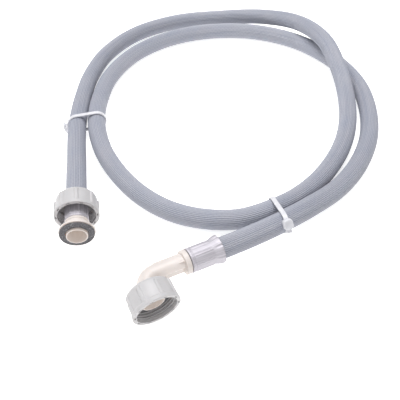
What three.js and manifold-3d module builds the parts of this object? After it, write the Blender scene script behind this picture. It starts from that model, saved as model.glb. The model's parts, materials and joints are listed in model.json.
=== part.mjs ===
// Washing-machine inlet hose, coiled and tied, with a straight and an elbow end.
// Millimetres, +Z up. The origin is on the floor, centred under the two end fittings.
import * as THREE from 'three';
import { mergeVertices } from 'three/addons/utils/BufferGeometryUtils.js';
import Module from 'manifold-3d';

const wasm = await Module();
wasm.setup();

const RAD = Math.PI / 180;
const SEGMENTS = 32;

// Hose: three bonded layers, outer and inner radius of each.
const SHEATH = { outer: 7.0, inner: 6.15 };
const BRAID = { outer: 5.85, inner: 5.5 };
const LINER = { outer: 5.2, inner: 4.5 };
const HOSE_SIDES = 10;
const HOSE_STEPS = 54;

// Union nut for a G3/4 thread. Its rim is at z = 0 and its body runs to -z.
const NUT = {
  length: 15,
  lipRadius: 14.8,
  lipLength: 2.3,
  chamfer: 0.3,
  bodyRadius: 14.1,
  rearRadius: 13.7,
  shoulderRadius: 12,
  holeRadius: 9.4,
  seatDepth: 12,
  threadMajor: 13.22,
  threadMinor: 12.06,
  pitch: 1.814,
  ribs: 8,
  ribWidth: 1.3,
  ribPhase: -5,
  slots: 10
};

// End fitting seen from its sealing face at z = 0, with the nose to +z.
const NOSE = { radius: 6.9, proud: 1.4, bore: 6.3, throat: 5.2, throatEnd: -4.5, boreStart: -6.8 };
const FLANGE = { radius: 11.6, front: -1.7, back: -3.2 };
const NECK = { radius: 7.9 };
const BARB = { radius: 3.6, ridge: 3.95, bore: 2.9 };
const WASHER = { outer: 11.15, inner: 7.25, thickness: 1.4 };

// Crimped sleeve, front at z = 0, running to -z.
const FERRULE = {
  length: 21.5,
  inner: 7.3,
  lip: 7.95,
  body: 7.9,
  flat: 7.62,
  bell: 8.9,
  bellInner: 8.3,
  bellLength: 4.6
};

// Where the ends lie: sealing-face centre, the heading and downward tilt of the nose,
// the place of the nut's rim along the axis, and the nut's turn about it.
const STRAIGHT = { x: -37.4, y: 14.0, azimuth: 10, tilt: 0, nutRim: -15.6, nutTurn: -4 };
const ELBOW = { x: 14.0, y: -34.1, azimuth: 27, tilt: 6, nutRim: 6, nutTurn: 31 };
const STRAIGHT_NECK_END = -9.4;
const STRAIGHT_FERRULE = -9.7;
const STRAIGHT_END = -32;
const ELBOW_LEG = { neckEnd: -7.4, depth: 15.8, tilt: -3, radius: 5.9, bend: 8, collarRadius: 7.7 };
const COLLAR = { start: 26.5, end: 29.5 };
const LEG_FERRULE = 30.2;
const LEG_END = 51.5;

// Cable ties: a strap in a plane through two strands of the hose.
const TIE = { inner: 7.45, thickness: 1.0, width: 3.1, head: [6.6, 4.2, 6.4], tail: 3 };

// Centreline of the hose, from the straight end round 1.75 loops to the elbow.
const ROUTE = [
  [-39.4, 25.6, 14.8],
  [-43.1, 46.1, 14.8],
  [-46.2, 63.8, 14.5],
  [-50.7, 88.1, 11.2],
  [-54.8, 110.1, 9.2],
  [-57.6, 132.1, 8.8],
  [-59.1, 165.1, 7.3],
  [-56.6, 201.1, 7.1],
  [-46.2, 237.1, 7.1],
  [-21.2, 272.1, 7.1],
  [17.8, 295.1, 7.1],
  [60.8, 301.1, 8.4],
  [102.8, 291.1, 14.8],
  [135.8, 267.1, 21.3],
  [154.8, 235.1, 22.2],
  [162.8, 201.1, 16.4],
  [165.3, 169.1, 9.2],
  [159.8, 132.1, 7.1],
  [147.8, 101.1, 7.1],
  [129.8, 73.6, 7.1],
  [111.2, 54.5, 7.8],
  [91.6, 41.1, 9.1],
  [67.8, 33.3, 7.4],
  [43.8, 33.5, 7.1],
  [20.8, 40.3, 7.1],
  [-1.2, 55.6, 7.1],
  [-20.2, 78.1, 7.1],
  [-34.5, 104.1, 7.5],
  [-42.4, 132.1, 8.8],
  [-44.3, 165.1, 7.3],
  [-38.4, 201.1, 7.1],
  [-19.7, 236.1, 7.1],
  [10.8, 262.1, 7.1],
  [50.8, 276.1, 7.1],
  [94.8, 275.1, 7.1],
  [134.8, 257.1, 7.1],
  [164.8, 224.1, 7.1],
  [179.2, 188.1, 7.1],
  [180.8, 154.1, 7.1],
  [173.6, 117.1, 7.1],
  [158.8, 86.1, 7.1],
  [140.1, 61.8, 8.4],
  [117.1, 40.7, 13.0],
  [91.8, 23.6, 14.4],
  [75.3, 14.7, 14.0],
  [60.1, 7.3, 13.8],
  [52.9, 3.6, 14.3],
  [34.1, -6.1, 15.4]
];

// Materials.
function material(color, roughness, metalness = 0) {
  return new THREE.MeshStandardMaterial({ color, roughness, metalness });
}

const PVC = material(0x9fa3b4, 0.5);
const TEXTILE = material(0xc9ccd6, 0.8);
const LINER_PVC = material(0x8e929f, 0.5);
const NYLON = material(0xe9e9ea, 0.45);
const NUT_PLASTIC = material(0xcfcecb, 0.45);
const TAIL_PLASTIC = material(0xe6ddd8, 0.45);
const RUBBER = material(0x3d3f42, 0.8);
const ALUMINIUM = material(0xd2d2d4, 0.25, 1);

// Closed bodies and booleans.
function weld(geometry) {
  const bare = geometry.clone();
  bare.deleteAttribute('normal');
  bare.deleteAttribute('uv');
  const merged = mergeVertices(bare, 1e-4);
  const p = merged.attributes.position.array;
  const source = merged.index.array;
  const triangles = [];
  let volume = 0;
  for (let i = 0; i < source.length; i += 3) {
    const [a, b, c] = [source[i], source[i + 1], source[i + 2]];
    if (a === b || b === c || c === a) continue;
    triangles.push([a, b, c]);
    const [u, v, w] = [a, b, c].map((k) => new THREE.Vector3().fromArray(p, k * 3));
    volume += u.dot(v.cross(w));
  }
  const ordered = volume < 0 ? triangles.map(([a, b, c]) => [a, c, b]) : triangles;
  return new wasm.Mesh({
    numProp: 3,
    vertProperties: new Float32Array(p),
    triVerts: new Uint32Array(ordered.flat())
  });
}

function solid(geometry) {
  return new wasm.Manifold(weld(geometry));
}

function geometryOf(mesh) {
  const geometry = new THREE.BufferGeometry();
  geometry.setAttribute('position', new THREE.BufferAttribute(mesh.vertProperties, 3));
  geometry.setIndex(new THREE.BufferAttribute(mesh.triVerts, 1));
  geometry.computeVertexNormals();
  return geometry;
}

function fromSolid(body) {
  return geometryOf(body.getMesh());
}

function joined(first, ...others) {
  return others.reduce((sum, other) => sum.add(other), first);
}

// A profile of [radius, z] pairs turned about the Z axis.
function turned(profile, segments = SEGMENTS) {
  const points = profile.map(([r, z]) => new THREE.Vector2(r, z));
  return new THREE.LatheGeometry(points, segments).rotateX(Math.PI / 2);
}

function ring(profile, segments) {
  return turned([...profile, profile[0]], segments);
}

function rod(radius, from, to, segments = SEGMENTS) {
  return turned([[0, from], [radius, from], [radius, to], [0, to]], segments);
}

function block(width, height, depth, x, y, z) {
  return new THREE.BoxGeometry(width, height, depth).translate(x, y, z);
}

// The union nut.
function threadProfile() {
  const { threadMajor, threadMinor, pitch } = NUT;
  const profile = [];
  for (let half = 9; half >= 1; half -= 1) {
    const radius = half % 2 === 0 ? threadMajor : threadMinor;
    profile.push([radius, -0.15 - (half * pitch) / 2]);
  }
  return profile;
}

function nutGeometry() {
  const { length, lipRadius, lipLength, chamfer, holeRadius, seatDepth, threadMajor } = NUT;
  const profile = [
    [threadMajor + 0.13, 0],
    [lipRadius - chamfer, 0],
    [lipRadius, -chamfer],
    [lipRadius, -lipLength],
    [NUT.bodyRadius, -lipLength - 0.4],
    [NUT.rearRadius, -length + 2.2],
    [NUT.rearRadius - 0.9, -length + 0.7],
    [NUT.shoulderRadius, -length],
    [holeRadius, -length],
    [holeRadius, -seatDepth],
    [threadMajor, -seatDepth],
    [threadMajor, -9.2],
    ...threadProfile()
  ];
  let body = solid(ring(profile));
  for (let k = 0; k < NUT.ribs; k += 1) {
    const rib = block(1.4, NUT.ribWidth, 10.9, lipRadius - 0.7, 0, -6.95);
    body = body.add(solid(rib.rotateZ((k / NUT.ribs) * 2 * Math.PI + NUT.ribPhase * RAD)));
  }
  for (let k = 0; k < NUT.slots; k += 1) {
    const slot = block(0.7, 3.2, 3.6, 14.1, 0, 0);
    body = body.subtract(solid(slot.rotateZ((k / NUT.slots) * 2 * Math.PI)));
  }
  return fromSolid(body);
}

// Barb ridges along a tail, from the given start for the given length.
function barbProfile(start, end) {
  const profile = [];
  for (let z = start - 5; z > end + 3; z -= 6) {
    profile.push([BARB.radius, z], [BARB.ridge, z - 0.3], [BARB.radius, z - 2]);
  }
  return profile;
}

function frontProfile(neckEnd) {
  return [
    [NOSE.radius, NOSE.proud],
    [NOSE.radius, FLANGE.front],
    [FLANGE.radius, FLANGE.front],
    [FLANGE.radius, FLANGE.back],
    [NECK.radius, FLANGE.back],
    [NECK.radius, neckEnd]
  ];
}

function straightTailGeometry() {
  const profile = [
    [NOSE.bore, NOSE.proud],
    ...frontProfile(STRAIGHT_NECK_END),
    [BARB.radius, STRAIGHT_NECK_END],
    ...barbProfile(STRAIGHT_NECK_END, STRAIGHT_END),
    [BARB.radius - 0.2, STRAIGHT_END],
    [BARB.bore, STRAIGHT_END],
    [BARB.bore, NOSE.boreStart],
    [NOSE.throat, NOSE.throatEnd]
  ];
  return geometryOf(weld(ring(profile, 24)));
}

// The elbow: nose and neck along Z, then a long leg along X.
function legPath(far) {
  const { depth, bend } = ELBOW_LEG;
  const path = new THREE.CurvePath();
  const top = new THREE.Vector3(0, 0, bend - depth);
  const corner = new THREE.Vector3(0, 0, -depth);
  const out = new THREE.Vector3(bend, 0, -depth);
  path.add(new THREE.LineCurve3(new THREE.Vector3(0, 0, top.z + 0.8), top));
  path.add(new THREE.QuadraticBezierCurve3(top, corner, out));
  path.add(new THREE.LineCurve3(out, new THREE.Vector3(far, 0, -depth)));
  return path;
}

function pipe(radius, sides, path, steps) {
  const shape = new THREE.Shape();
  for (let k = 0; k <= sides; k += 1) {
    const angle = (k / sides) * 2 * Math.PI;
    shape.lineTo(radius * Math.cos(angle), radius * Math.sin(angle));
  }
  const section = new THREE.Shape(shape.getPoints().slice(1, -1));
  return new THREE.ExtrudeGeometry(section, { steps, extrudePath: path, bevelEnabled: false });
}

// A long flute in the side of the leg, below a small ledge.
function fluteGeometry(side) {
  const outline = new THREE.Shape([
    new THREE.Vector2(3.0, 8),
    new THREE.Vector2(3.0, 4.1),
    new THREE.Vector2(-3.2, 5.0),
    new THREE.Vector2(-3.2, 8)
  ]);
  const flute = new THREE.ExtrudeGeometry(outline, { depth: 16.5, bevelEnabled: false });
  flute.applyMatrix4(new THREE.Matrix4().makeBasis(
    new THREE.Vector3(0, 1, 0),
    new THREE.Vector3(0, 0, side),
    new THREE.Vector3(1, 0, 0)
  ));
  return flute.translate(9, 0, -ELBOW_LEG.depth);
}

function alongLeg(geometry) {
  return geometry.rotateY(-Math.PI / 2).translate(0, 0, -ELBOW_LEG.depth);
}

function elbowGeometry() {
  const { neckEnd } = ELBOW_LEG;
  const head = turned([[0, NOSE.proud], ...frontProfile(neckEnd), [0, neckEnd]]);
  const leg = pipe(ELBOW_LEG.radius, 18, legPath(27), 9);
  const collar = alongLeg(rod(ELBOW_LEG.collarRadius, -COLLAR.start, -COLLAR.end));
  const barb = alongLeg(turned([
    [0, -29],
    [BARB.radius, -29],
    ...barbProfile(-29, -LEG_END),
    [BARB.radius - 0.2, -LEG_END],
    [0, -LEG_END]
  ], 16));
  const gusset = block(4, 1, 3, 25, 0, 6).rotateX(-70 * RAD).translate(0, 0, -ELBOW_LEG.depth);
  const mouth = turned([
    [0, NOSE.proud + 1],
    [NOSE.bore, NOSE.proud + 1],
    [NOSE.throat, NOSE.throatEnd],
    [BARB.bore, NOSE.boreStart],
    [BARB.bore, NOSE.boreStart - 0.8],
    [0, NOSE.boreStart - 0.8]
  ]);
  const bore = pipe(BARB.bore, 10, legPath(LEG_END + 2), 12);
  let body = joined(solid(head), solid(leg), solid(collar), solid(barb), solid(gusset));
  body = body.subtract(solid(fluteGeometry(1))).subtract(solid(fluteGeometry(-1)));
  return fromSolid(body.subtract(solid(mouth)).subtract(solid(bore)));
}

function washerGeometry() {
  const { outer, inner, thickness } = WASHER;
  const profile = [[inner, 0], [outer, 0], [outer, -thickness], [inner, -thickness]];
  return geometryOf(weld(ring(profile)));
}

// The crimped sleeve: eight flats along its body and eight creases in its bell.
function ferruleGeometry() {
  const { length, inner, lip, body, flat, bell, bellInner, bellLength } = FERRULE;
  const sleeve = ring([
    [inner, 0],
    [lip, 0],
    [lip, -1.5],
    [body, -1.9],
    [body, -length + bellLength + 1],
    [bell, -length + bellLength - 0.3],
    [bell, -length],
    [bellInner, -length],
    [bellInner, -length + bellLength - 0.6],
    [inner, -length + bellLength + 0.8]
  ]);
  let crimped = solid(sleeve);
  const run = length - bellLength - 3.4;
  for (let k = 0; k < 8; k += 1) {
    const jaw = block(3, 6, run, flat + 1.5, 0, -2.2 - run / 2);
    crimped = crimped.subtract(solid(jaw.rotateZ((k / 8) * 2 * Math.PI)));
    const crease = block(0.9, 0.9, bellLength + 2, 0, 0, -length + bellLength / 2);
    crease.rotateZ(Math.PI / 4).translate(bell + 0.3, 0, 0);
    crimped = crimped.subtract(solid(crease.rotateZ(((k + 0.5) / 8) * 2 * Math.PI)));
  }
  return fromSolid(crimped);
}

// Hose layers.
function layerGeometry({ outer, inner }) {
  const curve = new THREE.CatmullRomCurve3(
    ROUTE.map((point) => new THREE.Vector3(...point)), false, 'centripetal'
  );
  curve.arcLengthDivisions = 4000;
  const corners = (radius) => Array.from({ length: HOSE_SIDES }, (_, k) => {
    const angle = ((k + 0.5) / HOSE_SIDES) * 2 * Math.PI;
    return new THREE.Vector2(radius * Math.cos(angle), radius * Math.sin(angle));
  });
  const section = new THREE.Shape(corners(outer));
  section.holes.push(new THREE.Path(corners(inner)));
  const settings = { steps: HOSE_STEPS, extrudePath: curve, bevelEnabled: false };
  return geometryOf(weld(new THREE.ExtrudeGeometry(section, settings)));
}

// A strap round two strands: a ring with straight sides, a head and a cut tail.
function ringShape(half, radius) {
  const shape = new THREE.Shape();
  shape.absarc(half, 0, radius, -Math.PI / 2, Math.PI / 2, false);
  shape.absarc(-half, 0, radius, Math.PI / 2, (3 * Math.PI) / 2, false);
  return shape;
}

function tieGeometry(half, headAngle, end, tailSide) {
  const { inner, thickness, width, head, tail } = TIE;
  const shape = ringShape(half, inner + thickness);
  shape.holes.push(new THREE.Path(ringShape(half, inner).getPoints(10)));
  const strap = new THREE.ExtrudeGeometry(shape, {
    depth: width, bevelEnabled: false, curveSegments: 10
  });
  strap.translate(0, 0, -width / 2);
  const reach = inner + head[1] / 2 + 0.1;
  const lock = block(head[1], head[0], head[2], reach, 0, 0);
  const tailReach = tailSide * (head[0] / 2 + tail / 2 - 0.5);
  const stub = block(thickness, tail, width, inner + 2, tailReach, 0);
  const body = solid(lock).add(solid(stub));
  const turn = new THREE.Matrix4().makeRotationZ(headAngle * RAD);
  turn.setPosition(end * half, 0, 0);
  const placed = body.transform(turn.elements);
  return fromSolid(solid(strap).add(placed));
}

// Places a tie in the plane through points a and b that lies squarest to the heading.
function placeTie(mesh, a, b, heading) {
  const along = new THREE.Vector3().subVectors(b, a).normalize();
  const up = new THREE.Vector3().crossVectors(heading, along).normalize();
  if (up.z < 0) up.negate();
  const normal = new THREE.Vector3().crossVectors(along, up);
  mesh.quaternion.setFromRotationMatrix(new THREE.Matrix4().makeBasis(along, up, normal));
  mesh.position.addVectors(a, b).multiplyScalar(0.5);
  return mesh;
}

// Assembly.
const object = new THREE.Group();

function named(name, geometry, look) {
  const mesh = new THREE.Mesh(geometry, look);
  mesh.name = name;
  return mesh;
}

// A fitting's group: local +Z is the way its nose faces, local +Y is up. The nut's lip
// rests on the floor.
function fittingGroup({ x, y, azimuth, tilt, nutRim }) {
  const rise = (nutRim - NUT.chamfer) * Math.sin(tilt * RAD);
  const group = new THREE.Group();
  group.position.set(x, y, NUT.lipRadius * Math.cos(tilt * RAD) + rise);
  group.rotation.set((90 + tilt) * RAD, 0, azimuth * RAD, 'ZXY');
  object.add(group);
  return group;
}

object.add(named('hose_outer_sheath', layerGeometry(SHEATH), PVC));
object.add(named('hose_braid', layerGeometry(BRAID), TEXTILE));
object.add(named('hose_inner_tube', layerGeometry(LINER), LINER_PVC));

const straight = fittingGroup(STRAIGHT);
const straightFerrule = named('straight_ferrule', ferruleGeometry(), ALUMINIUM);
const straightNut = named('straight_nut', nutGeometry(), NUT_PLASTIC);
straightFerrule.position.z = STRAIGHT_FERRULE;
straightNut.position.z = STRAIGHT.nutRim;
straightNut.rotation.z = STRAIGHT.nutTurn * RAD;
straight.add(named('straight_tail', straightTailGeometry(), TAIL_PLASTIC));
straight.add(named('straight_washer', washerGeometry(), RUBBER));
straight.add(straightFerrule, straightNut);

const elbow = fittingGroup(ELBOW);
const leg = new THREE.Group();
leg.rotation.z = ELBOW_LEG.tilt * RAD;
elbow.add(leg);
const elbowFerrule = named('elbow_ferrule', ferruleGeometry(), ALUMINIUM);
const elbowNut = named('elbow_nut', nutGeometry(), NUT_PLASTIC);
elbowFerrule.rotation.y = -Math.PI / 2;
elbowFerrule.position.set(LEG_FERRULE, 0, -ELBOW_LEG.depth);
elbowNut.position.z = ELBOW.nutRim;
elbowNut.rotation.z = ELBOW.nutTurn * RAD;
leg.add(named('elbow_fitting', elbowGeometry(), TAIL_PLASTIC), elbowFerrule);
elbow.add(named('elbow_washer', washerGeometry(), RUBBER), elbowNut);

const leftTie = named('cable_tie_left', tieGeometry(8.7, 200, -1, -1), NYLON);
const rightTie = named('cable_tie_right', tieGeometry(10.3, 20, 1, -1), NYLON);
object.add(placeTie(
  leftTie,
  new THREE.Vector3(-57.5, 131.1, 8.9),
  new THREE.Vector3(-42.9, 135.1, 8.9),
  new THREE.Vector3(-0.05, 1, 0)
));
object.add(placeTie(
  rightTie,
  new THREE.Vector3(91.7, 41.4, 9.2),
  new THREE.Vector3(95.3, 25.5, 14.6),
  new THREE.Vector3(0.87, 0.49, 0.05)
));

export default object;
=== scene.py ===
"""Looks of a coiled washing-machine inlet hose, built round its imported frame.

Shapes are worked out in millimetres, in each fitting's own frame, and placed in metres.
"""
import json
import math

import bpy
import bmesh
import numpy as np
from mathutils import Matrix, Vector


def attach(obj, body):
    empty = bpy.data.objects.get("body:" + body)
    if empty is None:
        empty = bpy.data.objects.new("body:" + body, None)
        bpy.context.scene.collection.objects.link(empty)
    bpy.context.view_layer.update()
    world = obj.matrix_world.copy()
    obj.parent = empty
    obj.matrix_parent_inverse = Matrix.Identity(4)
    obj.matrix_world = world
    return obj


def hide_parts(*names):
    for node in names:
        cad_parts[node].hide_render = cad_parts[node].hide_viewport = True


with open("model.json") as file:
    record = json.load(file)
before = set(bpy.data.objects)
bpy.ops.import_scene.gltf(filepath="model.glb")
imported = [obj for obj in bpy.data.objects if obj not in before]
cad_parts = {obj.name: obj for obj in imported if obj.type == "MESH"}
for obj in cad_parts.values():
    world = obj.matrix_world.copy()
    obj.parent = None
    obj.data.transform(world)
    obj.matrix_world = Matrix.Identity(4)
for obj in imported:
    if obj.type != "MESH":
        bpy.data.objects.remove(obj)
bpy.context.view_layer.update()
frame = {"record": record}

MM = 0.001
TAU = 2 * math.pi

# Hose layers (mm). The yarns' travel is in radians from one ring of the mesh to the next.
HOSE_RADIUS = 7.0
SHEATH_INNER = 6.15
RIBS = 36
RIB_HEIGHT = 0.32
COLUMNS_PER_RIB = 6
BRAID_OUTER = 5.95
BRAID_INNER = 5.5
YARN_WAVES = 8
YARN_HEIGHT = 0.1
YARN_TRAVEL = 0.9
LINER_OUTER = 5.2
LINER_INNER = 4.5
CURVE_SAMPLES = 4000
HOSE_RINGS = 420

# Union nut, its rim at z = 0 and its body towards -z (mm). An EDGE is where a rib or a slot
# starts to fade and where it has gone, in degrees from its middle.
NUT_LENGTH = 15.0
NUT_LIP = 14.8
NUT_LIP_LENGTH = 2.3
NUT_BODY = 14.1
NUT_REAR = 13.7
NUT_HOLE = 9.4
NUT_SEAT = 12.0
THREAD_MAJOR = 13.22
THREAD_MINOR = 12.06
THREAD_PITCH = 1.814
THREAD_REACH = 9.4
THREAD_STEP = 0.14
NUT_RIBS = 8
NUT_RIB_PHASE = -5.0
NUT_RIB_EDGE = (2.6, 6.6)
NUT_RIB_END = (-12.75, -12.35)
NUT_SLOTS = 10
NUT_SLOT_EDGE = (3.6, 4.8)
MOUTH_RADIUS = 12.6
MOUTH_DEPTH = 2.3
SLOT_INNER = 13.1
SLOT_OUTER = 13.8
SLOT_DEPTH = 1.7

# End fittings, sealing face at z = 0 and nose towards +z (mm).
NOSE_RADIUS = 6.9
NOSE_PROUD = 1.4
NOSE_BORE = 6.3
THROAT = 5.2
FLANGE_RADIUS = 11.6
FLANGE_FRONT = -1.7
FLANGE_BACK = -3.2
NECK_RADIUS = 7.9
BARB_RADIUS = 3.6
BARB_RIDGE = 3.95
BARB_BORE = 2.9
WASHER_OUTER = 11.15
WASHER_INNER = 7.1
WASHER_THICKNESS = 1.4
FACE_MOUNT_RISE = 9.2
STRAIGHT_NECK_END = -10.1
STRAIGHT_BARB_END = -32.0

# The elbow's leg, along +x of its own frame (mm).
LEG_DEPTH = 15.8
LEG_TILT = -3.0
LEG_RADIUS = 5.9
LEG_BEND = 8.0
COLLAR_START = 26.5
COLLAR_END = 29.8
COLLAR_RADIUS = 7.7
LEG_FERRULE = 30.2
LEG_END = 51.5

# The leg's section, alike on both sides: a flat facet high up and a flute below it. A lean
# of 0 degrees points to the side and 90 up. Corners are (lean, across, up). A thin fin
# stands on the leg in front of the collar.
FACET_TOP = (64, 2.59, 5.3)
FACET_FOOT = (33, 5.4, 3.5)
FLUTE_FOOT_LEAN = -48
FLUTE_SHARES = (0, 0.08, 0.96, 1)
FLUTE_ACROSS = (5.4, 3.8, 3.8, 3.95)
FLUTE_UP = (3.5, 2.7, -4.2, -4.38)
FIN_LEAN = 70
FIN_SPREAD = 3.4
FIN_RISE = 1.5
FIN_LENGTH = 4.2

# Crimped sleeve, front at z = 0, running to -z (mm).
FERRULE_LENGTH = 21.5
FERRULE_INNER = 7.15
FERRULE_LIP = 7.95
FERRULE_BODY = 7.62
FERRULE_GROOVE = 7.36
FERRULE_RIDGE = 0.4
FERRULE_BELL = 9.15
BELL_LENGTH = 4.6
CRIMP_START = -2.5
STRAIGHT_FERRULE = -10.4

# The sleeve's crimps: depths in mm, and widths in degrees round it.
CRIMPS = 8
RIDGE_WIDTH = 3.0
GROOVE_SHARE = 0.4
GROOVE_PLACE = 6.5
GROOVE_WIDTH = 2.5
LIP_DENT = 0.18
BELL_CREASE = 0.4
CREASE_WIDTH = 5.0
STRAIGHT_CRIMP_PHASE = 22.5
ELBOW_CRIMP_PHASE = 28.5

# Rim places along each fitting's axis (mm) and turns about it (degrees) of the nuts.
STRAIGHT_RIM = -15.6
STRAIGHT_NUT_TURN = -4.0
ELBOW_RIM = 6.0
ELBOW_NUT_TURN = 31.0

# Centreline of the hose in metres, the same points as in the part's own source.
ROUTE = [
    (-0.0394, 0.0256, 0.0148), (-0.0431, 0.0461, 0.0148), (-0.0462, 0.0638, 0.0145),
    (-0.0507, 0.0881, 0.0112), (-0.0548, 0.1101, 0.0092), (-0.0576, 0.1321, 0.0088),
    (-0.0591, 0.1651, 0.0073), (-0.0566, 0.2011, 0.0071), (-0.0462, 0.2371, 0.0071),
    (-0.0212, 0.2721, 0.0071), (0.0178, 0.2951, 0.0071), (0.0608, 0.3011, 0.0084),
    (0.1028, 0.2911, 0.0148), (0.1358, 0.2671, 0.0213), (0.1548, 0.2351, 0.0222),
    (0.1628, 0.2011, 0.0164), (0.1653, 0.1691, 0.0092), (0.1598, 0.1321, 0.0071),
    (0.1478, 0.1011, 0.0071), (0.1298, 0.0736, 0.0071), (0.1112, 0.0545, 0.0078),
    (0.0916, 0.0411, 0.0091), (0.0678, 0.0333, 0.0074), (0.0438, 0.0335, 0.0071),
    (0.0208, 0.0403, 0.0071), (-0.0012, 0.0556, 0.0071), (-0.0202, 0.0781, 0.0071),
    (-0.0345, 0.1041, 0.0075), (-0.0424, 0.1321, 0.0088), (-0.0443, 0.1651, 0.0073),
    (-0.0384, 0.2011, 0.0071), (-0.0197, 0.2361, 0.0071), (0.0108, 0.2621, 0.0071),
    (0.0508, 0.2761, 0.0071), (0.0948, 0.2751, 0.0071), (0.1348, 0.2571, 0.0071),
    (0.1648, 0.2241, 0.0071), (0.1792, 0.1881, 0.0071), (0.1808, 0.1541, 0.0071),
    (0.1736, 0.1171, 0.0071), (0.1588, 0.0861, 0.0071), (0.1401, 0.0618, 0.0084),
    (0.1171, 0.0407, 0.0130), (0.0918, 0.0236, 0.0144), (0.0753, 0.0147, 0.0140),
    (0.0601, 0.0073, 0.0138), (0.0529, 0.0036, 0.0143), (0.0341, -0.0061, 0.0154),
]

# Cable ties: crossing points of the two strands (m), heading of the hose there, and
# where on the loop the head sits.
TIES = {
    "cable_tie_left": {
        "ends": ((-0.0575, 0.1311, 0.0089), (-0.0429, 0.1351, 0.0089)),
        "heading": (-0.05, 1.0, 0.0), "head_angle": 200.0, "side": -1, "tail": 2.0,
    },
    "cable_tie_right": {
        "ends": ((0.0917, 0.0414, 0.0092), (0.0953, 0.0255, 0.0146)),
        "heading": (0.87, 0.49, 0.05), "head_angle": 20.0, "side": -1, "tail": 2.4,
    },
}
STRAP_WIDTH = 3.1
STRAP_THICKNESS = 1.0
STRAP_CLEARANCE = 0.08
STRAP_OVERLAP_GAP = 0.15
TAIL_START = 0.4
TAIL_CURL = 0.015
HEAD_SIZE = (6.6, 4.2, 6.4)
HEAD_CORNER = 1.9
HEAD_EDGE = 0.7
RECESS_BORDER = 1.1
RECESS_DEPTH = 0.5

# Camera and stage (m, degrees, lens and sensor in mm). Lights are (place, size, watts).
CAMERA_PLACE = (0.0408, -0.1759, 0.263)
CAMERA_PITCH = 41.5
LENS = 44.1
SENSOR = 36.0
WORLD_STRENGTH = 0.42
FLOOR_HALF = 3.0
FLOOR_GLOW = 0.6
LIGHT_TARGET = (0.06, 0.13, 0.0)
LIGHTS = {
    "overhead": ((0.0, 0.45, 1.1), 0.8, 12),
    "front": ((0.15, -0.75, 0.75), 0.7, 2),
    "window": ((-0.9, 0.2, 0.9), 0.6, 3),
}

# Edges that bend by less than this are shaded smooth (degrees).
SHARP_ANGLE = 38.0
HOSE_SHARP_ANGLE = 80


# --- camera, floor and light -------------------------------------------------------

def make_camera():
    data = bpy.data.cameras.new("camera")
    data.lens = LENS
    data.sensor_width = SENSOR
    camera = bpy.data.objects.new("camera", data)
    camera.location = CAMERA_PLACE
    camera.rotation_euler = (math.radians(CAMERA_PITCH), 0, 0)
    bpy.context.scene.collection.objects.link(camera)
    bpy.context.scene.camera = camera


def make_light(name, place, target, size, power):
    data = bpy.data.lights.new(name, "AREA")
    data.shape = "DISK"
    data.size = size
    data.energy = power
    light = bpy.data.objects.new(name, data)
    light.location = place
    aim = Vector(target) - Vector(place)
    light.rotation_euler = aim.to_track_quat("-Z", "Y").to_euler()
    bpy.context.scene.collection.objects.link(light)


def make_stage():
    scene = bpy.context.scene
    scene.view_settings.view_transform = "Standard"
    world = bpy.data.worlds.new("studio")
    world.use_nodes = True
    background = world.node_tree.nodes["Background"]
    background.inputs["Color"].default_value = (1.0, 1.0, 0.995, 1)
    background.inputs["Strength"].default_value = WORLD_STRENGTH
    scene.world = world

    for name, (place, size, power) in LIGHTS.items():
        make_light(name, place, LIGHT_TARGET, size, power)

    mesh = bpy.data.meshes.new("floor")
    half = FLOOR_HALF
    corners = [(-half, -half, 0), (half, -half, 0), (half, half, 0), (-half, half, 0)]
    mesh.from_pydata(corners, [], [(0, 1, 2, 3)])
    floor = bpy.data.objects.new("floor", mesh)
    scene.collection.objects.link(floor)
    look = bpy.data.materials.new("floor")
    look.use_nodes = True
    shader = look.node_tree.nodes["Principled BSDF"]
    shader.inputs["Base Color"].default_value = (0.93, 0.93, 0.92, 1)
    shader.inputs["Roughness"].default_value = 0.9
    shader.inputs["Specular IOR Level"].default_value = 0.0
    shader.inputs["Emission Color"].default_value = (1.0, 1.0, 0.985, 1)
    shader.inputs["Emission Strength"].default_value = FLOOR_GLOW
    mesh.materials.append(look)


# --- node materials ----------------------------------------------------------------

def srgb(red, green, blue):
    """A colour given as 0 to 255 screen values, as linear RGBA."""
    def linear(value):
        value /= 255
        return value / 12.92 if value <= 0.04045 else ((value + 0.055) / 1.055) ** 2.4
    return (linear(red), linear(green), linear(blue), 1)


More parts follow.
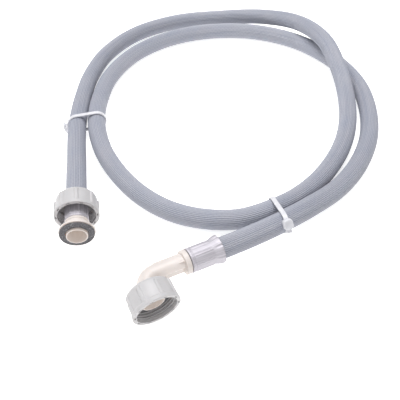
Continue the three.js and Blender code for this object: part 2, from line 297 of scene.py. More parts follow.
class Look:
    """A small builder for procedural materials."""

    def __init__(self, name, roughness, metallic=0.0):
        self.material = bpy.data.materials.new(name)
        self.material.use_nodes = True
        self.tree = self.material.node_tree
        self.shader = self.tree.nodes["Principled BSDF"]
        self.shader.inputs["Roughness"].default_value = roughness
        self.shader.inputs["Metallic"].default_value = metallic
        self.place = self.tree.nodes.new("ShaderNodeTexCoord")

    def link(self, source, target):
        self.tree.links.new(source, target)

    def math(self, operation, first, second=None):
        node = self.tree.nodes.new("ShaderNodeMath")
        node.operation = operation
        for socket, value in zip(node.inputs, (first, second)):
            if isinstance(value, (int, float)):
                socket.default_value = value
            elif value is not None:
                self.link(value, socket)
        return node.outputs[0]

    def uv(self):
        node = self.tree.nodes.new("ShaderNodeSeparateXYZ")
        self.link(self.place.outputs["UV"], node.inputs[0])
        return node.outputs["X"], node.outputs["Y"]

    def noise(self, scale, detail=2.0, vector=None, roughness=0.5):
        node = self.tree.nodes.new("ShaderNodeTexNoise")
        node.inputs["Scale"].default_value = scale
        node.inputs["Detail"].default_value = detail
        node.inputs["Roughness"].default_value = roughness
        self.link(vector or self.place.outputs["Object"], node.inputs["Vector"])
        return node.outputs["Fac"]

    def stretched_uv(self, along, across):
        node = self.tree.nodes.new("ShaderNodeMapping")
        node.inputs["Scale"].default_value = (across, along, 1)
        self.link(self.place.outputs["UV"], node.inputs["Vector"])
        return node.outputs["Vector"]

    def ramp(self, factor, stops):
        node = self.tree.nodes.new("ShaderNodeValToRGB")
        ramp = node.color_ramp
        while len(ramp.elements) < len(stops):
            ramp.elements.new(0.5)
        for element, (position, colour) in zip(ramp.elements, stops):
            element.position = position
            element.color = colour
        self.link(factor, node.inputs["Fac"])
        return node.outputs["Color"]

    def mix(self, factor, first, second, blend="MIX"):
        node = self.tree.nodes.new("ShaderNodeMix")
        node.data_type = "RGBA"
        node.blend_type = blend
        sockets = {"Factor": node.inputs[0], "A": node.inputs[6], "B": node.inputs[7]}
        for key, value in (("Factor", factor), ("A", first), ("B", second)):
            if isinstance(value, (float, int, tuple)):
                sockets[key].default_value = value
            else:
                self.link(value, sockets[key])
        return node.outputs[2]

    def colour(self, source):
        self.link(source, self.shader.inputs["Base Color"])

    def rough(self, factor, low, high):
        spread = self.math("MULTIPLY", factor, high - low)
        self.link(self.math("ADD", spread, low), self.shader.inputs["Roughness"])

    def bump(self, height, strength, distance):
        node = self.tree.nodes.new("ShaderNodeBump")
        node.inputs["Strength"].default_value = strength
        node.inputs["Distance"].default_value = distance
        self.link(height, node.inputs["Height"])
        previous = self.shader.inputs["Normal"]
        if previous.is_linked:
            self.link(previous.links[0].from_socket, node.inputs["Normal"])
        self.link(node.outputs["Normal"], previous)

    def soft(self, weight, radius, tint=(1.0, 0.9, 0.85)):
        self.shader.inputs["Subsurface Weight"].default_value = weight
        self.shader.inputs["Subsurface Radius"].default_value = tint
        self.shader.inputs["Subsurface Scale"].default_value = radius


def sheath_look():
    """Blue-grey PVC: fine ribs with painted shade darkening their valleys, the braid's
    crossing yarns showing faintly through.
    """
    look = Look("sheath_pvc", 0.42)
    yarn_gap, yarn = srgb(144, 148, 161), srgb(168, 169, 179)
    valley_shade = srgb(120, 125, 143)
    drawn_dark, drawn_light = srgb(137, 142, 156), srgb(175, 175, 182)
    cloud_dark, cloud_light = srgb(149, 154, 167), srgb(169, 167, 173)
    u, v = look.uv()
    carriers = 12
    turns = look.math("MULTIPLY", u, carriers * TAU)
    travel = look.math("MULTIPLY", v, carriers * TAU)
    left = look.math("SINE", look.math("ADD", turns, travel))
    right = look.math("SINE", look.math("SUBTRACT", turns, travel))
    yarns = look.math("MAXIMUM", left, right)
    lattice = look.math("MULTIPLY", look.math("ADD", yarns, 1.0), 0.5)
    # Painted shade: the colour darkens towards each rib valley, where shade falls between the
    # ribs.
    groove = look.math("COSINE", look.math("MULTIPLY", u, RIBS * TAU))
    crest = look.math("MULTIPLY", look.math("ADD", groove, 1.0), 0.5)
    cloud = look.noise(60.0, 3.0)
    drawn = look.noise(1.0, 3.0, look.stretched_uv(0.5, 20.0))
    base = look.mix(lattice, yarn_gap, yarn)
    valley_shaded = look.mix(crest, valley_shade, base)
    streaks = look.ramp(drawn, [(0.32, drawn_dark), (0.68, drawn_light)])
    streaked = look.mix(0.4, valley_shaded, streaks)
    clouds = look.ramp(cloud, [(0.35, cloud_dark), (0.65, cloud_light)])
    clouded = look.mix(0.2, streaked, clouds)
    look.colour(clouded)
    look.rough(drawn, 0.34, 0.5)
    look.bump(lattice, 0.4, 0.00015)
    look.bump(drawn, 0.15, 0.0001)
    look.bump(look.noise(2500.0, 2.0), 0.06, 0.00006)
    look.soft(0.08, 0.0015)
    return look.material


def braid_look():
    """Polyester yarns laid over each other in two directions."""
    look = Look("braid_textile", 0.75)
    u, v = look.uv()
    carriers = 16
    fibres = look.noise(1.0, 4.0, look.stretched_uv(40.0, 300.0))
    turns = look.math("MULTIPLY", u, carriers * TAU)
    travel = look.math("MULTIPLY", v, carriers * TAU)
    weave = look.math("MULTIPLY", look.math("SINE", look.math("ADD", turns, travel)),
                      look.math("SINE", look.math("SUBTRACT", turns, travel)))
    look.colour(look.mix(look.math("MULTIPLY", look.math("ADD", weave, 1.0), 0.5),
                         srgb(186, 190, 202), srgb(216, 219, 226)))
    look.bump(weave, 0.5, 0.0002)
    look.bump(fibres, 0.3, 0.00005)
    look.shader.inputs["Sheen Weight"].default_value = 0.2
    return look.material


def moulded_look(name, dark, light, roughness, depth=0.1, painted_glow=(0, 0, 0)):
    """Satin moulded plastic with a fine spark-eroded grain and faint flow marks. depth is how
    much light goes into it, and the emitted glow is painted light: an even emission over the
    whole part that stands in for the light coming back out of thin walls."""
    look = Look(name, roughness)
    flow = look.noise(70.0, 3.0)
    grain = look.noise(4200.0, 2.0)
    tone = look.ramp(flow, [(0.3, dark), (0.7, light)])
    look.colour(look.mix(look.math("MULTIPLY", grain, 0.12), tone, dark))
    look.rough(look.noise(350.0, 3.0), roughness - 0.07, roughness + 0.1)
    look.bump(grain, 0.08, 0.00004)
    look.bump(flow, 0.05, 0.0004)
    look.soft(depth, 0.002, (1.0, 0.85, 0.75))
    # Painted light: the part glows evenly, its bore and hollows included, as if lit from
    # within.
    look.shader.inputs["Emission Color"].default_value = (*painted_glow, 1)
    look.shader.inputs["Emission Strength"].default_value = 1.0 if any(painted_glow) else 0.0
    return look.material


def rubber_look():
    """Matt black rubber, speckled with bloom and moulding dust."""
    look = Look("washer_rubber", 0.72)
    black, grey, bloom = srgb(42, 42, 46), srgb(90, 88, 91), srgb(154, 153, 157)
    speck = look.noise(1500.0, 4.0, roughness=0.7)
    patch = look.noise(220.0, 3.0)
    tone = look.ramp(speck, [(0.38, black), (0.52, grey), (0.68, bloom)])
    look.colour(look.mix(look.math("MULTIPLY", patch, 0.5), tone, srgb(86, 86, 92)))
    look.rough(speck, 0.6, 0.85)
    look.bump(speck, 0.35, 0.00012)
    return look.material


def metal_look():
    """Bright crimped aluminium with drawing streaks along the sleeve."""
    look = Look("crimp_aluminium", 0.55, 0.45)
    dark, light = srgb(174, 171, 178), srgb(204, 200, 208)
    streak = look.noise(1.0, 4.0, look.stretched_uv(1.5, 90.0), 0.6)
    smear = look.noise(300.0, 3.0)
    look.colour(look.ramp(streak, [(0.3, dark), (0.7, light)]))
    look.rough(smear, 0.5, 0.62)
    look.bump(streak, 0.2, 0.00008)
    look.shader.inputs["Anisotropic"].default_value = 0.3
    return look.material


def nylon_look():
    """Milky nylon with a soft gloss."""
    look = Look("tie_nylon", 0.36)
    dark, light = srgb(203, 203, 209), srgb(216, 216, 221)
    flow = look.noise(180.0, 3.0)
    look.colour(look.ramp(flow, [(0.3, dark), (0.7, light)]))
    look.rough(look.noise(600.0, 2.0), 0.3, 0.46)
    look.bump(look.noise(1400.0, 3.0), 0.08, 0.00006)
    look.soft(0.3, 0.002, (1.0, 1.0, 1.0))
    return look.material


def make_looks():
    liner = srgb(134, 138, 151), srgb(148, 152, 164)
    tail = srgb(194, 189, 188), srgb(206, 201, 200)
    nut = srgb(180, 179, 181), srgb(193, 191, 193)
    # Painted light: a warm even glow for the tail plastic that brightens its bore and shaded
    # hollows.
    tail_painted_glow = (0.12, 0.092, 0.068)
    return {
        "sheath_pvc": sheath_look(),
        "braid_textile": braid_look(),
        "liner_pvc": moulded_look("liner_pvc", *liner, 0.5),
        "tail_plastic": moulded_look("tail_plastic", *tail, 0.4, 0.3, tail_painted_glow),
        "nut_plastic": moulded_look("nut_plastic", *nut, 0.42, 0.12),
        "washer_rubber": rubber_look(),
        "crimp_aluminium": metal_look(),
        "tie_nylon": nylon_look(),
    }


# --- mesh helpers ------------------------------------------------------------------

def row_lengths(rows):
    """How far each row lies along the surface from the first, in mm."""
    following = np.roll(rows, -1, axis=0)
    steps = np.linalg.norm(following - rows, axis=2).mean(axis=1)
    return np.concatenate([[0.0], np.cumsum(steps)])


def turn_outward(work):
    """Turns a closed bmesh right side out, and says whether it was inside out."""
    inside_out = work.calc_volume(signed=True) < 0
    if inside_out:
        bmesh.ops.reverse_faces(work, faces=work.faces)
    return inside_out


def grid_mesh(name, rows, cyclic=True):
    """Quads between closed rows of points (rows, columns, 3) in metres. The last row joins
    the first, or both ends are capped. U is the turn round a row; V is the distance along,
    in hose circumferences."""
    count, columns = rows.shape[:2]
    index = np.arange(count * columns).reshape(count, columns)
    below = index if cyclic else index[:-1]
    above = np.roll(index, -1, axis=0) if cyclic else index[1:]
    quads = np.stack([below, np.roll(below, -1, 1), np.roll(above, -1, 1), above], -1)
    faces = quads.reshape(-1, 4).tolist()
    if not cyclic:
        faces += [index[0][::-1].tolist(), index[-1].tolist()]

    circumference = TAU * HOSE_RADIUS * MM
    along = row_lengths(rows) / circumference
    turn = np.arange(columns + 1) / columns
    u = np.stack([turn[:-1], turn[1:], turn[1:], turn[:-1]], -1)
    v = np.stack([along[:-1], along[:-1], along[1:], along[1:]], -1)[:len(below)]
    uv = np.zeros((len(below), columns, 4, 2))
    uv[..., 0] = u[None]
    uv[..., 1] = v[:, None]

    mesh = bpy.data.meshes.new(name)
    mesh.from_pydata(rows.reshape(-1, 3).tolist(), [], faces)
    layer = mesh.uv_layers.new(name="UVMap")
    values = np.zeros((len(mesh.loops), 2), np.float32)
    values[:uv.size // 2] = uv.reshape(-1, 2)
    layer.data.foreach_set("uv", values.ravel())
    work = bmesh.new()
    work.from_mesh(mesh)
    if turn_outward(work):
        work.to_mesh(mesh)
    work.free()
    return mesh


def add_piece(name, mesh, looks, slot, body, nodes, sharp=SHARP_ANGLE):
    """Links a finished piece, gives it its look and its body, and hides what it stands for."""
    mesh.polygons.foreach_set("use_smooth", [True] * len(mesh.polygons))
    mesh.set_sharp_from_angle(angle=math.radians(sharp))
    mesh.materials.append(looks[slot])
    piece = bpy.data.objects.new(name, mesh)
    bpy.context.scene.collection.objects.link(piece)
    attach(piece, body)
    if nodes:
        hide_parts(*nodes)
    return piece


def rounded(corners, steps=4, closed=True):
    """An outline of (r, z, fillet) corners with each corner rounded, and a support point
    either side of it. Returns an array of (r, z)."""
    points = []
    total = len(corners)
    for k, (r, z, fillet) in enumerate(corners):
        here = np.array([r, z])
        if fillet == 0 or (not closed and k in (0, total - 1)):
            points.append(here)
            continue
        before = np.array(corners[k - 1][:2])
        after = np.array(corners[(k + 1) % total][:2])
        back = (before - here) / np.linalg.norm(before - here)
        on = (after - here) / np.linalg.norm(after - here)
        start, end = here + back * fillet, here + on * fillet
        points.append(here + back * fillet * 1.3)
        for t in np.linspace(0, 1, steps + 1):
            points.append((1 - t) ** 2 * start + 2 * t * (1 - t) * here + t * t * end)
        points.append(here + on * fillet * 1.3)
    return np.array(points)


def column_angles(columns):
    return np.arange(columns) / columns * TAU


def polar(radius, height, angles):
    """Rows of points from radius and height arrays of (rows, columns) or (rows,)."""
    shape = (len(radius), len(angles))
    radius = np.broadcast_to(radius.reshape(shape[0], -1), shape)
    height = np.broadcast_to(height.reshape(shape[0], -1), shape)
    return np.stack([radius * np.cos(angles), radius * np.sin(angles), height], -1)


def placed(rows, matrix):
    """Rows in mm of a local frame as rows in metres of the row frame."""
    turn = np.array(matrix.to_3x3())
    return rows @ turn.T * MM + np.array(matrix.translation)


def ramp_up(value, low, high):
    """0 up to low and 1 from high, with a smooth step between them."""
    t = np.clip((value - low) / (high - low), 0, 1)
    return t * t * (3 - 2 * t)


def nearest_turn(angles, count, phase):
    """How far each angle lies from the nearest of count even directions, in degrees."""
    step = 360 / count
    return np.abs((np.degrees(angles) - phase + step / 2) % step - step / 2)


def fitting_matrix(mount_name):
    """A fitting's frame from its seal-face mount: +Z the way it faces, +Y up."""
    mounts = {m["name"]: m for m in frame["record"]["mounts"]}
    mount = mounts[mount_name]
    z = Vector(mount["axis"]).normalized()
    x = Vector((0, 0, 1)).cross(z).normalized()
    y = z.cross(x)
    matrix = Matrix((x, y, z)).transposed().to_4x4()
    matrix.translation = Vector(mount["pos_m"]) - y * FACE_MOUNT_RISE * MM
    return matrix


# --- hose --------------------------------------------------------------------------

def catmull_rom(points, samples):
    """A centripetal Catmull-Rom curve through the points, as three.js draws it."""
    points = np.array(points)
    first = 2 * points[0] - points[1]
    last = 2 * points[-1] - points[-2]
    chain = np.vstack([first, points, last])
    curve = []
    for t in np.linspace(0, len(points) - 1, samples):
        i = min(int(t), len(points) - 2)
        w = t - i
        near = chain[i:i + 4]
        p0, p1, p2, p3 = near
        d0, d1, d2 = (math.sqrt(np.linalg.norm(b - a)) for a, b in zip(near, near[1:]))
        t1 = ((p1 - p0) / d0 - (p2 - p0) / (d0 + d1) + (p2 - p1) / d1) * d1
        t2 = ((p2 - p1) / d1 - (p3 - p1) / (d1 + d2) + (p3 - p2) / d2) * d1
        square = (-3 * p1 + 3 * p2 - 2 * t1 - t2) * w ** 2
        cubic = (2 * p1 - 2 * p2 + t1 + t2) * w ** 3
        curve.append(p1 + t1 * w + (square + cubic))
    return np.array(curve)


def even_steps(curve, count):
    """The curve again, at count even steps of its length."""
    steps = np.linalg.norm(np.diff(curve, axis=0), axis=1)
    along = np.concatenate([[0], np.cumsum(steps)])
    wanted = np.linspace(0, along[-1], count)
    return np.stack([np.interp(wanted, along, curve[:, k]) for k in range(3)], -1)


def travelling_frames(line):
    """Two directions square to the line at each point, carried along without twist."""
    tangents = np.gradient(line, axis=0)
    tangents /= np.linalg.norm(tangents, axis=1)[:, None]
    side = np.cross(tangents[0], (0, 0, 1))
    sides = []
    for tangent in tangents:
        side = side - tangent * (side @ tangent)
        side = side / np.linalg.norm(side)
        sides.append(side)
    sides = np.array(sides)
    return sides, np.cross(sides, tangents)


def tube_rows(line, radii, angles):
    """Rings round a line. radii is (rings, columns) or (columns,), in mm."""
    sides, ups = travelling_frames(line)
    across = sides[:, None] * np.cos(angles)[None, :, None]
    upward = ups[:, None] * np.sin(angles)[None, :, None]
    radii = np.broadcast_to(radii, (len(line), len(angles)))
    return line[:, None] + (across + upward) * radii[..., None] * MM


def layer_mesh(name, line, outer, inner, columns, thinning):
    """A closed tube: its outer rings, then fewer rings of its bore on the way back."""
    angles = column_angles(columns)
    outside = tube_rows(line, outer(angles), angles)
    back = sorted(set(range(0, len(line), thinning)) | {len(line) - 1}, reverse=True)
    inside = tube_rows(line, np.full(columns, inner), angles)[back]
    return grid_mesh(name, np.concatenate([outside, inside]))


def hose_pieces(looks):
    """The hose's three layers round one centreline. Returns the pieces and the line."""
    line = even_steps(catmull_rom(ROUTE, CURVE_SAMPLES), HOSE_RINGS)

    def ribbed(angles):
        crest = 0.5 + 0.5 * np.cos(RIBS * angles)
        return HOSE_RADIUS - RIB_HEIGHT * (1 - crest) ** 1.5

    def woven(angles):
        travel = np.arange(len(line))[:, None] * YARN_TRAVEL
        yarn = np.cos(YARN_WAVES * angles + travel) * np.cos(YARN_WAVES * angles - travel)
        return BRAID_OUTER - YARN_HEIGHT + YARN_HEIGHT * yarn

    def plain(angles):
        return np.full(len(angles), LINER_OUTER)

    # Name, look, node, outer shape, bore, columns, and how few of its rings the bore has.
    layers = [
        ("hose_sheath", "sheath_pvc", "hose_outer_sheath",
         ribbed, SHEATH_INNER, RIBS * COLUMNS_PER_RIB, 6),
        ("hose_braid_weave", "braid_textile", "hose_braid", woven, BRAID_INNER, 64, 4),
        ("hose_liner", "liner_pvc", "hose_inner_tube", plain, LINER_INNER, 32, 1),
    ]
    pieces = []
    for name, slot, node, outer, inner, columns, thinning in layers:
        mesh = layer_mesh(name, line, outer, inner, columns, thinning)
        pieces.append(add_piece(name, mesh, looks, slot, "hose", [node], HOSE_SHARP_ANGLE))
    return pieces, line


# --- union nuts --------------------------------------------------------------------

def nut_outline():
    """The nut's section from the rim's inner edge, over the outside, to the seat."""
    lip_end = -NUT_LIP_LENGTH
    taper_start, taper_length = lip_end - 0.5, 10.0
    body_line = [(z, NUT_BODY + (NUT_REAR - NUT_BODY) * (taper_start - z) / taper_length)
                 for z in (-3.1, -3.5, -5.0, -7.0, -9.0, -11.0, -11.8, -12.1, -12.4, -12.7)]
    corners = [
        (MOUTH_RADIUS, 0, 0), (SLOT_INNER - 0.02, 0, 0), (SLOT_INNER, 0, 0),
        (SLOT_OUTER, 0, 0), (SLOT_OUTER + 0.02, 0, 0),
        (NUT_LIP, 0, 0.3), (NUT_LIP, lip_end, 0.25), (NUT_BODY, taper_start, 0.25),
        *((r, z, 0) for z, r in body_line),
        (NUT_REAR, -13.2, 0.35), (NUT_REAR - 0.7, -14.5, 0.5), (12.0, -NUT_LENGTH, 0.3),
        (NUT_HOLE, -NUT_LENGTH, 0.35), (NUT_HOLE, -NUT_SEAT, 0.2),
        (THREAD_MAJOR + 0.15, -NUT_SEAT, 0.3), (THREAD_MAJOR + 0.1, -9.6, 0),
    ]
    return rounded(corners, 3, closed=False)


def nut_rows(matrix, rim, turn):
    """The nut's section turned round, with ribs, slots and a helical thread worked in."""
    angles = column_angles(360)
    outline = nut_outline()
    radius = np.repeat(outline[:, :1], len(angles), 1)
    height = np.repeat(outline[:, 1:], len(angles), 1)

    # Low wide ribs from the lip to near the rear.
    rib = 1 - ramp_up(nearest_turn(angles, NUT_RIBS, NUT_RIB_PHASE), *NUT_RIB_EDGE)
    outside = (outline[:, 0] > NUT_REAR - 0.2) & (outline[:, 1] < -NUT_LIP_LENGTH - 0.1)
    proud = np.where(outside, NUT_LIP - outline[:, 0], 0)
    proud = proud * ramp_up(outline[:, 1], *NUT_RIB_END)
    radius += proud[:, None] * rib[None]

    # Narrow slots in the rim.
    slot = 1 - ramp_up(nearest_turn(angles, NUT_SLOTS, 0.0), *NUT_SLOT_EDGE)
    slot_middle = (SLOT_INNER + SLOT_OUTER) / 2
    slot_reach = (SLOT_OUTER - SLOT_INNER) / 2 + 0.01
    sunk = (outline[:, 1] == 0) & (np.abs(outline[:, 0] - slot_middle) < slot_reach)
    height -= sunk[:, None] * slot[None] * SLOT_DEPTH

    # The thread, from the undercut up to a plain mouth inside the rim. The sign before the
    # angles sets its hand. Plus winds left-handed, where a real G3/4 thread is right-handed.
    thread_z = np.arange(-THREAD_REACH, -0.05, THREAD_STEP)
    phase = (thread_z[:, None] / THREAD_PITCH + angles[None] / TAU) % 1
    flank = np.abs(2 * phase - 1)
    shaped = ramp_up(flank, 0.12, 0.88)
    fade = ramp_up(-thread_z, MOUTH_DEPTH, MOUTH_DEPTH + 0.3)
    fade = fade * (1 - ramp_up(-thread_z, THREAD_REACH - 0.8, THREAD_REACH))
    wall = np.where(-thread_z < MOUTH_DEPTH, MOUTH_RADIUS - 0.1, THREAD_MAJOR + 0.1)
    depth = THREAD_MAJOR - THREAD_MINOR
    thread = wall[:, None] - depth * shaped * fade[:, None]
    radius = np.concatenate([radius, thread])
    height = np.concatenate([height, np.repeat(thread_z[:, None], len(angles), 1)])

    local = Matrix.Translation((0, 0, rim * MM)) @ Matrix.Rotation(math.radians(turn), 4, "Z")
    return placed(polar(radius, height, angles), matrix @ local)


# --- tails, washers and sleeves ----------------------------------------------------

def barb_corners(start, end):
    """Ridges every 6 mm down the barb, each steep in front and long behind."""
    corners = []
    z = start - 5
    while z > end + 3:
        corners += [(BARB_RADIUS, z, 0), (BARB_RIDGE, z - 0.3, 0.1), (BARB_RADIUS, z - 2, 0)]
        z -= 6
    return corners


def head_corners():
    """Nose, flange and the start of the neck."""
    return [
        (NOSE_RADIUS, NOSE_PROUD, 0.22), (NOSE_RADIUS + 0.05, FLANGE_FRONT, 0.1),
        (FLANGE_RADIUS, FLANGE_FRONT, 0.25), (FLANGE_RADIUS, FLANGE_BACK, 0.3),
        (NECK_RADIUS, FLANGE_BACK, 0.4),
    ]


def straight_tail_rows(matrix):
    """The tail: nose, flange, a neck with a groove and a ring at its end, and the barb."""
    neck, end = STRAIGHT_NECK_END, STRAIGHT_BARB_END
    groove, ring = NECK_RADIUS - 0.5, NECK_RADIUS - 0.1
    outline = rounded([
        (NOSE_BORE, NOSE_PROUD, 0.2), *head_corners(), (NECK_RADIUS, neck + 2.5, 0.15),
        (groove, neck + 2.2, 0.1), (groove, neck + 1.8, 0.1),
        (ring, neck + 1.5, 0.2), (ring, neck, 0.3),
        (BARB_RADIUS, neck, 0.1), *barb_corners(neck, end), (BARB_RADIUS - 0.2, end, 0.1),
        (BARB_BORE, end, 0.1), (BARB_BORE, -11, 0.6), (THROAT, -8, 0.8), (THROAT + 0.3, -4, 0),
    ])
    angles = column_angles(128)
    return placed(polar(outline[:, 0], outline[:, 1], angles), matrix)


def washer_rows(matrix):
    """A flat ring, a little out of round as cut rubber is."""
    outline = rounded([
        (WASHER_INNER, 0, 0.3), (WASHER_OUTER, 0, 0.35),
        (WASHER_OUTER, -WASHER_THICKNESS, 0.35), (WASHER_INNER, -WASHER_THICKNESS, 0.3),
    ])
    angles = column_angles(160)
    ripple = 0.035 * np.sin(5 * angles + 1.0) + 0.02 * np.sin(11 * angles)
    radius = outline[:, :1] + ripple[None]
    return placed(polar(radius, outline[:, 1], angles), matrix)


def ferrule_rows(matrix, phase):
    """The sleeve: a lip, a groove, a body with crimped ridges, and a flared, creased bell."""
    length, bell_start = -FERRULE_LENGTH, -FERRULE_LENGTH + BELL_LENGTH
    crimp_end = bell_start + 1.6
    outline = rounded([
        (FERRULE_INNER, 0, 0.2), (FERRULE_LIP, 0, 0.3), (FERRULE_LIP, -1.5, 0.25),
        (FERRULE_GROOVE, -1.7, 0.1), (FERRULE_GROOVE, -2.3, 0.1), (FERRULE_BODY, -2.6, 0.1),
        (FERRULE_BODY, -3.2, 0), (FERRULE_BODY, crimp_end + 1.2, 0),
        (FERRULE_BODY, crimp_end + 0.5, 0), (FERRULE_BODY, crimp_end, 0),
        (FERRULE_BODY + 0.1, bell_start + 1.2, 0.4), (FERRULE_BELL - 0.2, length + 2.0, 1.4),
        (FERRULE_BELL, length, 0.3), (FERRULE_BELL - 0.6, length, 0.25),
        (FERRULE_BELL - 0.7, bell_start - 0.7, 0.6), (FERRULE_INNER, bell_start + 0.9, 0.4),
    ], 3)
    angles = column_angles(256)
    outer = outline[:, 0] > FERRULE_INNER + 0.1
    z = outline[:, 1]
    crimped = outer * ramp_up(-z, -CRIMP_START, -CRIMP_START + 1.0)
    crimped = crimped * ramp_up(z, crimp_end, crimp_end + 1.2)
    distance = nearest_turn(angles, CRIMPS, phase)
    grooves = GROOVE_SHARE * np.exp(-((distance - GROOVE_PLACE) / GROOVE_WIDTH) ** 2)
    ridge = np.exp(-(distance / RIDGE_WIDTH) ** 2) - grooves
    lobes = 0.5 + 0.5 * np.cos(CRIMPS * (angles - math.radians(phase)))
    lip = outer * (z > -1.6)
    bell = outer * ramp_up(-z, -bell_start - 0.6, -bell_start + 0.6)
    creases = np.exp(-(distance / CREASE_WIDTH) ** 2)
    radius = outline[:, :1] + (FERRULE_RIDGE * crimped)[:, None] * ridge[None]
    radius = radius - LIP_DENT * lip[:, None] * (1 - lobes)[None]
    radius = radius - BELL_CREASE * bell[:, None] * creases[None]
    return placed(polar(radius, z, angles), matrix)


# --- elbow -------------------------------------------------------------------------

def leg_outline(angles, fluted):
    """The leg's section as (front, up): round, or with a facet and a flute on both sides."""
    front, up = LEG_RADIUS * np.cos(angles), LEG_RADIUS * np.sin(angles)
    if not fluted:
        return front, up
    (top_lean, top_across, top_up), (foot_lean, foot_across, foot_up) = FACET_TOP, FACET_FOOT
    for side in (1, -1):
        lean = np.degrees(np.arctan2(up, side * front))
        facet = (lean >= foot_lean) & (lean < top_lean)
        share = (top_lean - lean) / (top_lean - foot_lean)
        across = top_across + (foot_across - top_across) * share
        front = np.where(facet, side * across, front)
        up = np.where(facet, top_up + (foot_up - top_up) * share, up)
        flute = (lean > FLUTE_FOOT_LEAN) & (lean < foot_lean)
        share = (foot_lean - lean) / (foot_lean - FLUTE_FOOT_LEAN)
        front = np.where(flute, side * np.interp(share, FLUTE_SHARES, FLUTE_ACROSS), front)
        up = np.where(flute, np.interp(share, FLUTE_SHARES, FLUTE_UP), up)
    return front, up


def elbow_rows():
    """Rows from the nose, through the bend, along the leg to the barb, and back inside."""
    angles = column_angles(160)
    rows = []

    def across_z(radius, z):
        rows.append(polar(np.array([radius]), np.array([z]), angles)[0])

    def on_leg(x, radius):
        front, up = radius * np.cos(angles), radius * np.sin(angles)
        rows.append(np.stack([np.full(len(angles), x), up, front - LEG_DEPTH], -1))

    def bent(share, radius):
        bend = share * TAU / 4
        middle = np.array([LEG_BEND * (1 - math.cos(bend)), 0,
                           -LEG_DEPTH + LEG_BEND * (1 - math.sin(bend))])
        outward = np.array([math.cos(bend), 0, math.sin(bend)])
        sideways = np.array([0, 1, 0])
        circle = outward * np.cos(angles)[:, None] + sideways * np.sin(angles)[:, None]
        rows.append(middle + radius * circle)

    def leg_section(x, fluted):
        front, up = leg_outline(angles, fluted)
        fin = np.exp(-(np.abs(np.degrees(angles) - FIN_LEAN) / FIN_SPREAD) ** 4)
        along = ramp_up(np.array(x), COLLAR_START - FIN_LENGTH, COLLAR_START - 0.2)
        grown = 1 + FIN_RISE * float(along) * fin / LEG_RADIUS
        depth = front * grown - LEG_DEPTH
        rows.append(np.stack([np.full(len(angles), x), up * grown, depth], -1))

    head = rounded([(NOSE_BORE, NOSE_PROUD, 0.2), *head_corners(),
                    (NECK_RADIUS, -8.2, 0.4), (LEG_RADIUS, -8.7, 0)], closed=False)
    for radius, z in head[1:]:
        across_z(radius, z)
    for share in np.linspace(0.02, 1, 14):
        bent(share, LEG_RADIUS)
    leg_section(8.4, False)
    for x in (8.8, 9.2, 12, 15, 18, 21, 22.5, 23.5, 24.3, 25.0, 25.5):
        leg_section(x, True)
    for x in (25.9, 26.1):
        leg_section(x, False)
    collar = rounded([
        (LEG_RADIUS, COLLAR_START - 0.3, 0), (LEG_RADIUS + 0.1, COLLAR_START, 0.15),
        (COLLAR_RADIUS, COLLAR_START, 0.35), (COLLAR_RADIUS, COLLAR_END, 0.35),
        (BARB_RADIUS, COLLAR_END, 0.1),
    ], closed=False)
    ridges = [(r, -z, fillet) for r, z, fillet in barb_corners(-COLLAR_END, -LEG_END)]
    barb = rounded([
        (BARB_RADIUS, COLLAR_END + 0.5, 0), *ridges,
        (BARB_RADIUS - 0.2, LEG_END, 0.1), (BARB_BORE, LEG_END, 0),
    ], closed=False)
    for radius, x in (*collar[1:], *barb):
        on_leg(x, radius)
    for x in (45, 35, 25, 15, 9):
        on_leg(x, BARB_BORE)
    for share in np.linspace(1, 0, 9):
        bent(share, BARB_BORE)
    bore = rounded([(BARB_BORE, -8.6, 0), (THROAT, -6, 0.8), (THROAT + 0.4, -3, 0),
                    (NOSE_BORE, NOSE_PROUD, 0.2), (NOSE_RADIUS, NOSE_PROUD, 0)], closed=False)
    for radius, z in bore[:-2]:
        across_z(radius, z)
    return np.array(rows)


# --- cable ties --------------------------------------------------------------------

def tie_matrix(ends, heading):
    """The tie's plane: +X from one strand to the other, +Y up, +Z along the hose."""
    a, b = Vector(ends[0]), Vector(ends[1])
    x = (b - a).normalized()
    y = Vector(heading).cross(x).normalized()
    if y.z < 0:
        y.negate()
    matrix = Matrix((x, y, x.cross(y))).transposed().to_4x4()
    matrix.translation = (a + b) / 2
    return matrix, (b - a).length / 2 / MM


def belt(half, radius, start, side, samples=220):
    """Points and outward normals round two circles, from the direction start (degrees)."""
    angles = np.radians(start) + side * np.linspace(0, TAU, samples)
    normals = np.stack([np.cos(angles), np.sin(angles)], -1)
    # The middle of each straight run is passed while the normal points along +-Y.
    shift = half * np.clip(normals[:, 0] / math.sin(math.radians(4)), -1, 1)
    return np.stack([shift, np.zeros(samples)], -1) + radius * normals, normals


def strap_section():
    """The strap's section (outward, along the hose): flat inside, rounded outside."""
    half, thick = STRAP_WIDTH / 2, STRAP_THICKNESS
    corners = [(0, -half, 0.12), (thick, -half, 0.3), (thick, half, 0.3), (0, half, 0.12)]
    return rounded(corners, 3)


def strap_mesh(name, tie):
    """The strap: once round both strands, then past the head as a cut tail."""
    matrix, half = tie_matrix(tie["ends"], tie["heading"])
    start = tie["head_angle"]
    points, normals = belt(half, HOSE_RADIUS + STRAP_CLEARANCE, start, tie["side"])
    # The last stretch rises over the first.
    share = np.linspace(0, 1, len(points))
    lift = ramp_up(share, 0.8, 0.97) * (STRAP_THICKNESS + STRAP_OVERLAP_GAP)
    points = points + normals * lift[:, None]
    tangent = tie["side"] * np.array([-normals[-1][1], normals[-1][0]])
    reach = HEAD_SIZE[0] / 2 + tie["tail"]
    tail = [points[-1] + tangent * d + normals[-1] * TAIL_CURL * d * d
            for d in np.linspace(TAIL_START, reach, 12)]
    points = np.vstack([points, tail])
    normals = np.vstack([normals, np.repeat(normals[-1:], len(tail), 0)])
    section = strap_section()
    rows = np.zeros((len(points), len(section), 3))
    rows[..., :2] = points[:, None] + normals[:, None] * section[None, :, :1]
    rows[..., 2] = section[None, :, 1]
    return grid_mesh(name, placed(rows, matrix), cyclic=False)


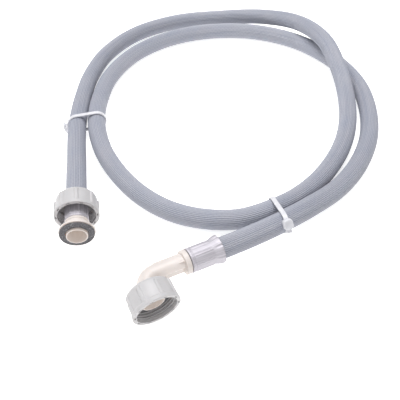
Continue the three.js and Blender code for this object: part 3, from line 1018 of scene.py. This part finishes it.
def head_mesh(name, tie):
    """The locking head: a rounded block with a shallow recess over its pawl."""
    matrix, half = tie_matrix(tie["ends"], tie["heading"])
    angle = math.radians(tie["head_angle"])
    outward = np.array([math.cos(angle), math.sin(angle)])
    side = tie["side"] * np.array([-outward[1], outward[0]])
    middle = np.array([half * np.sign(math.cos(angle)), 0])
    base = HOSE_RADIUS + STRAP_CLEARANCE + 0.1
    length, height, width = HEAD_SIZE

    work = bmesh.new()
    bmesh.ops.create_cube(work, size=1.0)
    bmesh.ops.scale(work, vec=(length, height, width), verts=work.verts)
    upright = [e for e in work.edges if abs(e.verts[0].co.y - e.verts[1].co.y) > height / 2]
    bmesh.ops.bevel(work, geom=upright, offset=HEAD_CORNER, segments=5, affect="EDGES",
                     profile=0.5)
    ends = sorted(work.faces, key=lambda f: f.calc_center_median().y)
    rims = [*ends[0].edges, *ends[-1].edges]
    bmesh.ops.bevel(work, geom=rims, offset=HEAD_EDGE, segments=4, affect="EDGES", profile=0.5)
    top = max(work.faces, key=lambda f: f.calc_center_median().y)
    bmesh.ops.inset_region(work, faces=[top], thickness=RECESS_BORDER)
    bmesh.ops.translate(work, verts=top.verts, vec=(0, -RECESS_DEPTH, 0))
    for vertex in work.verts:
        x, y, z = vertex.co
        flat = middle + outward * (base + height / 2 + y) + side * x
        vertex.co = matrix @ Vector((flat[0] * MM, flat[1] * MM, z * MM))
    turn_outward(work)
    mesh = bpy.data.meshes.new(name)
    work.to_mesh(mesh)
    work.free()
    return mesh


# --- the object --------------------------------------------------------------------

def turned_about(matrix, degrees, axis):
    return matrix @ Matrix.Rotation(math.radians(degrees), 4, axis)


def build():
    make_camera()
    looks = make_looks()
    layers, line = hose_pieces(looks)

    for node, tie in TIES.items():
        for name, make_mesh in ((node + "_strap", strap_mesh), (node + "_head", head_mesh)):
            mesh = make_mesh(name, tie)
            add_piece(name, mesh, looks, "tie_nylon", "hose", [node])

    straight = fitting_matrix("straight_seal_face")
    elbow = fitting_matrix("elbow_seal_face")
    leg = turned_about(elbow, LEG_TILT, "Z")
    sleeve = straight @ Matrix.Translation((0, 0, STRAIGHT_FERRULE * MM))
    leg_sleeve = leg @ Matrix.Translation((LEG_FERRULE * MM, 0, -LEG_DEPTH * MM))
    leg_sleeve = turned_about(leg_sleeve, -90, "Y")

    fittings = [
        ("straight_nut_body", nut_rows(straight, STRAIGHT_RIM, STRAIGHT_NUT_TURN),
         "nut_plastic", "straight_union_nut", "straight_nut"),
        ("elbow_nut_body", nut_rows(elbow, ELBOW_RIM, ELBOW_NUT_TURN),
         "nut_plastic", "elbow_union_nut", "elbow_nut"),
        ("straight_tail_body", straight_tail_rows(straight),
         "tail_plastic", "hose", "straight_tail"),
        ("elbow_body", placed(elbow_rows(), leg),
         "tail_plastic", "hose", "elbow_fitting"),
        ("straight_washer_ring", washer_rows(straight),
         "washer_rubber", "hose", "straight_washer"),
        ("elbow_washer_ring", washer_rows(elbow),
         "washer_rubber", "hose", "elbow_washer"),
        ("straight_sleeve", ferrule_rows(sleeve, STRAIGHT_CRIMP_PHASE),
         "crimp_aluminium", "hose", "straight_ferrule"),
        ("elbow_sleeve", ferrule_rows(leg_sleeve, ELBOW_CRIMP_PHASE),
         "crimp_aluminium", "hose", "elbow_ferrule"),
    ]
    for name, rows, slot, body, node in fittings:
        add_piece(name, grid_mesh(name, rows), looks, slot, body, [node])

    make_stage()


build()
